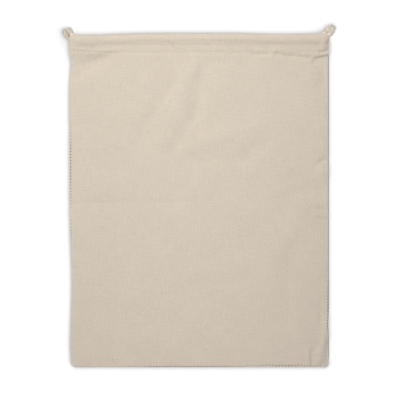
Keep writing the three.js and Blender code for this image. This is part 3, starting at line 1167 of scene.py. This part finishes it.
class COTTONBAG_OT_casing_stitches(bpy.types.Operator):
    """Rows of stitches that hold down the two casings"""

    bl_idname = "cottonbag.casing_stitches"
    bl_label = "Casing stitches"

    def execute(self, context):
        settings = context.scene.cotton_bag.stitch
        strength = context.scene.cotton_bag.cloth.fold_strength
        thread = spun_thread("sewing_thread", settings.colour)
        thick = settings.thread_diameter / MM
        row_end = 146
        for panel in PANELS.values():
            bm = bmesh.new()
            for middle in even_steps(-row_end, row_end, STITCH_PITCH):
                line = []
                for share, sink in ((-1, 0.75), (-0.8, 0.15), (0, 0.0), (0.8, 0.15), (1, 0.75)):
                    x = middle + share * STITCH_LENGTH / 2
                    top = outer_height(panel, x, STITCH_Y, strength)
                    level = max(top - panel.outer_side * sink * thick, FLOOR_GAP + thick / 2)
                    line.append(Vector((x, STITCH_Y, level)))
                rings = [
                    ring_points(place, along, thick, thick * 0.8, 6) for place, along in zip(line, headings(line))
                ]
                sweep(bm, rings)
            bmesh.ops.recalc_face_normals(bm, faces=bm.faces[:])
            piece = new_object(panel.name + "_stitches", bm, thread)
            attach(piece, "root")
        return {"FINISHED"}


class COTTONBAG_OT_seam_stitches(bpy.types.Operator):
    """Stitches that show along the edges, dark with painted shade of the gaps between them, and the thread in the right
    seam, dark with painted shade of the seam
    """

    bl_idname = "cottonbag.seam_stitches"
    bl_label = "Seam stitches"

    def execute(self, context):
        settings = context.scene.cotton_bag.stitch
        # the edge stitches are coloured dark as painted shade of the gaps between them
        pulled = spun_thread("pulled_stitch_thread", settings.painted_gap_shade_colour)
        # the right seam's thread is coloured dark as painted shade of the seam
        shaded = spun_thread("shaded_seam_thread", settings.painted_seam_shade_colour)
        strength = context.scene.cotton_bag.cloth.fold_strength
        for name, bm, thread in (
            ("seam_stitches", self.make_stitches(strength), pulled),
            ("right_seam_thread", self.make_run(), shaded),
        ):
            bmesh.ops.recalc_face_normals(bm, faces=bm.faces[:])
            piece = new_object(name, bm, thread)
            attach(piece, "root")
        return {"FINISHED"}

    def make_stitches(self, strength):
        """Short stitches that cross the edge of the front cloth, coloured dark to paint the shade of the gaps between
        them
        """
        across = 1.3
        along = 1.2
        thick = 0.5
        proud = 0.2
        smallest = 0.5
        chance = random.Random("seams")
        bm = bmesh.new()
        for row in SEAM_STITCHES:
            for place in even_steps(row.start, row.end, STITCH_PITCH):
                to_end = min(place - row.start, row.end - place)
                size = blend(smallest, 1, float(smoothstep(to_end, 0, STITCH_FADE)))
                inset = row.inset + chance.uniform(-row.waver, row.waver)
                if row.edge == "bottom":
                    outward = Vector((0, -1, 0))
                    middle = Vector((place, BOTTOM_Y + inset, 0))
                    flat = (place, BOTTOM_Y + inset)
                else:
                    side = -1 if row.edge == "left" else 1
                    outward = Vector((side, 0, 0))
                    reach = float(side_reach(row.edge, np.array([place]), HALF_WIDTH + CASING_DEPTH)[0])
                    middle = Vector((side * (reach - inset), place, 0))
                    flat = (side * (HALF_WIDTH - inset), place)
                middle.z = outer_height(PANELS["front"], *flat, strength) + proud - thick / 2
                line = [middle + outward * (share * size * across / 2) for share in (-1, -0.6, 0.6, 1)]
                for spot, sink in zip(line, (0.2, 0, 0, 0.2)):
                    spot.z -= sink
                rings = [ring_points(spot, way, along * size, thick, 8) for spot, way in zip(line, headings(line))]
                sweep(bm, rings)
        return bm

    def make_run(self):
        """Thread between the two panels of the right seam, where it rolls to the front, coloured dark to paint the
        shade of the seam
        """
        thick = 0.8
        line = []
        for place in even_steps(SEAM_ROLLS[0].start, SEAM_ROLLS[0].end, STITCH_PITCH / 2):
            reach = float(side_reach("right", np.array([place]), HALF_WIDTH + CASING_DEPTH)[0])
            line.append(Vector((reach - thick / 2, place, 1.15)))
        bm = bmesh.new()
        sweep(bm, [ring_points(spot, way, thick, thick, 8) for spot, way in zip(line, headings(line))])
        return bm


class COTTONBAG_OT_stage(bpy.types.Operator):
    """White floor, soft light and a camera straight above the bag"""

    bl_idname = "cottonbag.stage"
    bl_label = "Stage"

    def execute(self, context):
        settings = context.scene.cotton_bag.stage
        floor = self.make_floor()
        self.make_light(context, settings, floor)
        self.make_floor_lamps(context, settings, floor)
        self.make_camera(context, settings)
        context.scene.view_settings.view_transform = "Standard"
        return {"FINISHED"}

    def make_floor(self):
        """Wide sheet of matt board, which its own lamps make white, with a soft shade close to the bag painted into its
        colour by ambient occlusion
        """
        floor_half = 4.0
        material, tree, output = new_material("matt_floor")
        # ambient occlusion paints a shade into the floor's colour close to the bag
        sky = add_node(tree, "ShaderNodeAmbientOcclusion", {"Distance": CONTACT_REACH * MM}, samples=16)
        white = add_node(
            tree,
            "ShaderNodeMapRange",
            {"Value": sky.outputs["AO"], "From Min": CONTACT_OPEN, "To Min": PAINTED_CONTACT_SHADE_WHITE, "To Max": FLOOR_WHITE},
        )
        shader = add_node(
            tree,
            "ShaderNodeBsdfPrincipled",
            {
                "Base Color": white.outputs[0],
                "Roughness": 0.9,
                "Specular IOR Level": 0.0,
            },
        )
        tree.links.new(shader.outputs[0], output.inputs["Surface"])
        bm = bmesh.new()
        bmesh.ops.create_grid(bm, x_segments=8, y_segments=8, size=floor_half)
        floor = new_object("floor", bm, material)
        return floor

    def make_light(self, context, settings, floor):
        """Even dome, and soft lamps that don't light the floor"""
        world = bpy.data.worlds.new("soft dome")
        world.use_nodes = True
        dome = world.node_tree.nodes["Background"]
        dome.inputs["Color"].default_value = (1, 1, 1, 1)
        dome.inputs["Strength"].default_value = settings.dome_strength
        context.scene.world = world
        unlit = bpy.data.collections.new("not lit by the bag's lamps")
        unlit.objects.link(floor)
        unlit.collection_objects[0].light_linking.link_state = "EXCLUDE"
        for row in BAG_LAMPS:
            lamp = bpy.data.lights.new(row.name, "AREA")
            lamp.shape = "ELLIPSE"
            lamp.size = row.width
            lamp.size_y = row.length
            lamp.energy = getattr(settings, row.power_setting)
            source = bpy.data.objects.new(row.name, lamp)
            context.scene.collection.objects.link(source)
            source.location = row.place
            source.rotation_euler = (-Vector(row.place)).to_track_quat("-Z", "Y").to_euler()
            source.light_linking.receiver_collection = unlit

    def make_floor_lamps(self, context, settings, floor):
        """Soft lamps round the stage that light the floor alone"""
        lit = bpy.data.collections.new("lit by the floor lamps")
        lit.objects.link(floor)
        for row in FLOOR_LAMPS:
            azimuth = math.radians(row.azimuth)
            elevation = math.radians(row.elevation)
            lamp = bpy.data.lights.new("floor lamp " + row.name, "SUN")
            lamp.angle = math.radians(row.softness)
            lamp.energy = settings.floor_light * row.share * math.pi / (FLOOR_WHITE * math.sin(elevation))
            source = bpy.data.objects.new(lamp.name, lamp)
            context.scene.collection.objects.link(source)
            level = math.cos(elevation)
            towards = Vector((math.cos(azimuth) * level, math.sin(azimuth) * level, math.sin(elevation)))
            source.rotation_euler = (-towards).to_track_quat("-Z", "Y").to_euler()
            source.light_linking.receiver_collection = lit

    def make_camera(self, context, settings):
        """Long lens straight above the middle of the photograph's frame"""
        height = 2.6
        middle = (0.87 * MM, 0.0)
        lens = bpy.data.cameras.new("camera")
        lens.sensor_width = 36
        lens.lens = lens.sensor_width * height / settings.view_width
        lens.clip_end = 50
        camera = bpy.data.objects.new("camera", lens)
        camera.location = (*middle, height)
        context.scene.collection.objects.link(camera)
        context.scene.camera = camera


class COTTONBAG_PT_panel(bpy.types.Panel):
    """Sizes, colours and pieces of the cotton bag"""

    bl_idname = "COTTONBAG_PT_panel"
    bl_label = "Cotton bag"
    bl_space_type = "VIEW_3D"
    bl_region_type = "UI"
    bl_category = "Cotton bag"

    def draw(self, context):
        settings = context.scene.cotton_bag
        for group in (settings.cloth, settings.cord, settings.stitch, settings.stage):
            box = self.layout.box()
            for name in group.__annotations__:
                box.prop(group, name)
        for operator in OPERATORS:
            self.layout.operator(operator.bl_idname)


OPERATORS = (
    COTTONBAG_OT_stage,
    COTTONBAG_OT_drawcords,
    COTTONBAG_OT_panels,
    COTTONBAG_OT_casing_stitches,
    COTTONBAG_OT_seam_stitches,
)
CLASSES = (
    ClothSettings,
    CordSettings,
    StitchSettings,
    StageSettings,
    BagSettings,
    *OPERATORS,
    COTTONBAG_PT_panel,
)


def register():
    for cls in CLASSES:
        bpy.utils.register_class(cls)
    bpy.types.Scene.cotton_bag = bpy.props.PointerProperty(type=BagSettings)


def unregister():
    del bpy.types.Scene.cotton_bag
    for cls in reversed(CLASSES):
        bpy.utils.unregister_class(cls)


def main():
    register()
    bpy.ops.cottonbag.stage()
    bpy.ops.cottonbag.drawcords()
    bpy.ops.cottonbag.panels()
    bpy.ops.cottonbag.casing_stitches()
    bpy.ops.cottonbag.seam_stitches()


if __name__ == "__main__":
    main()
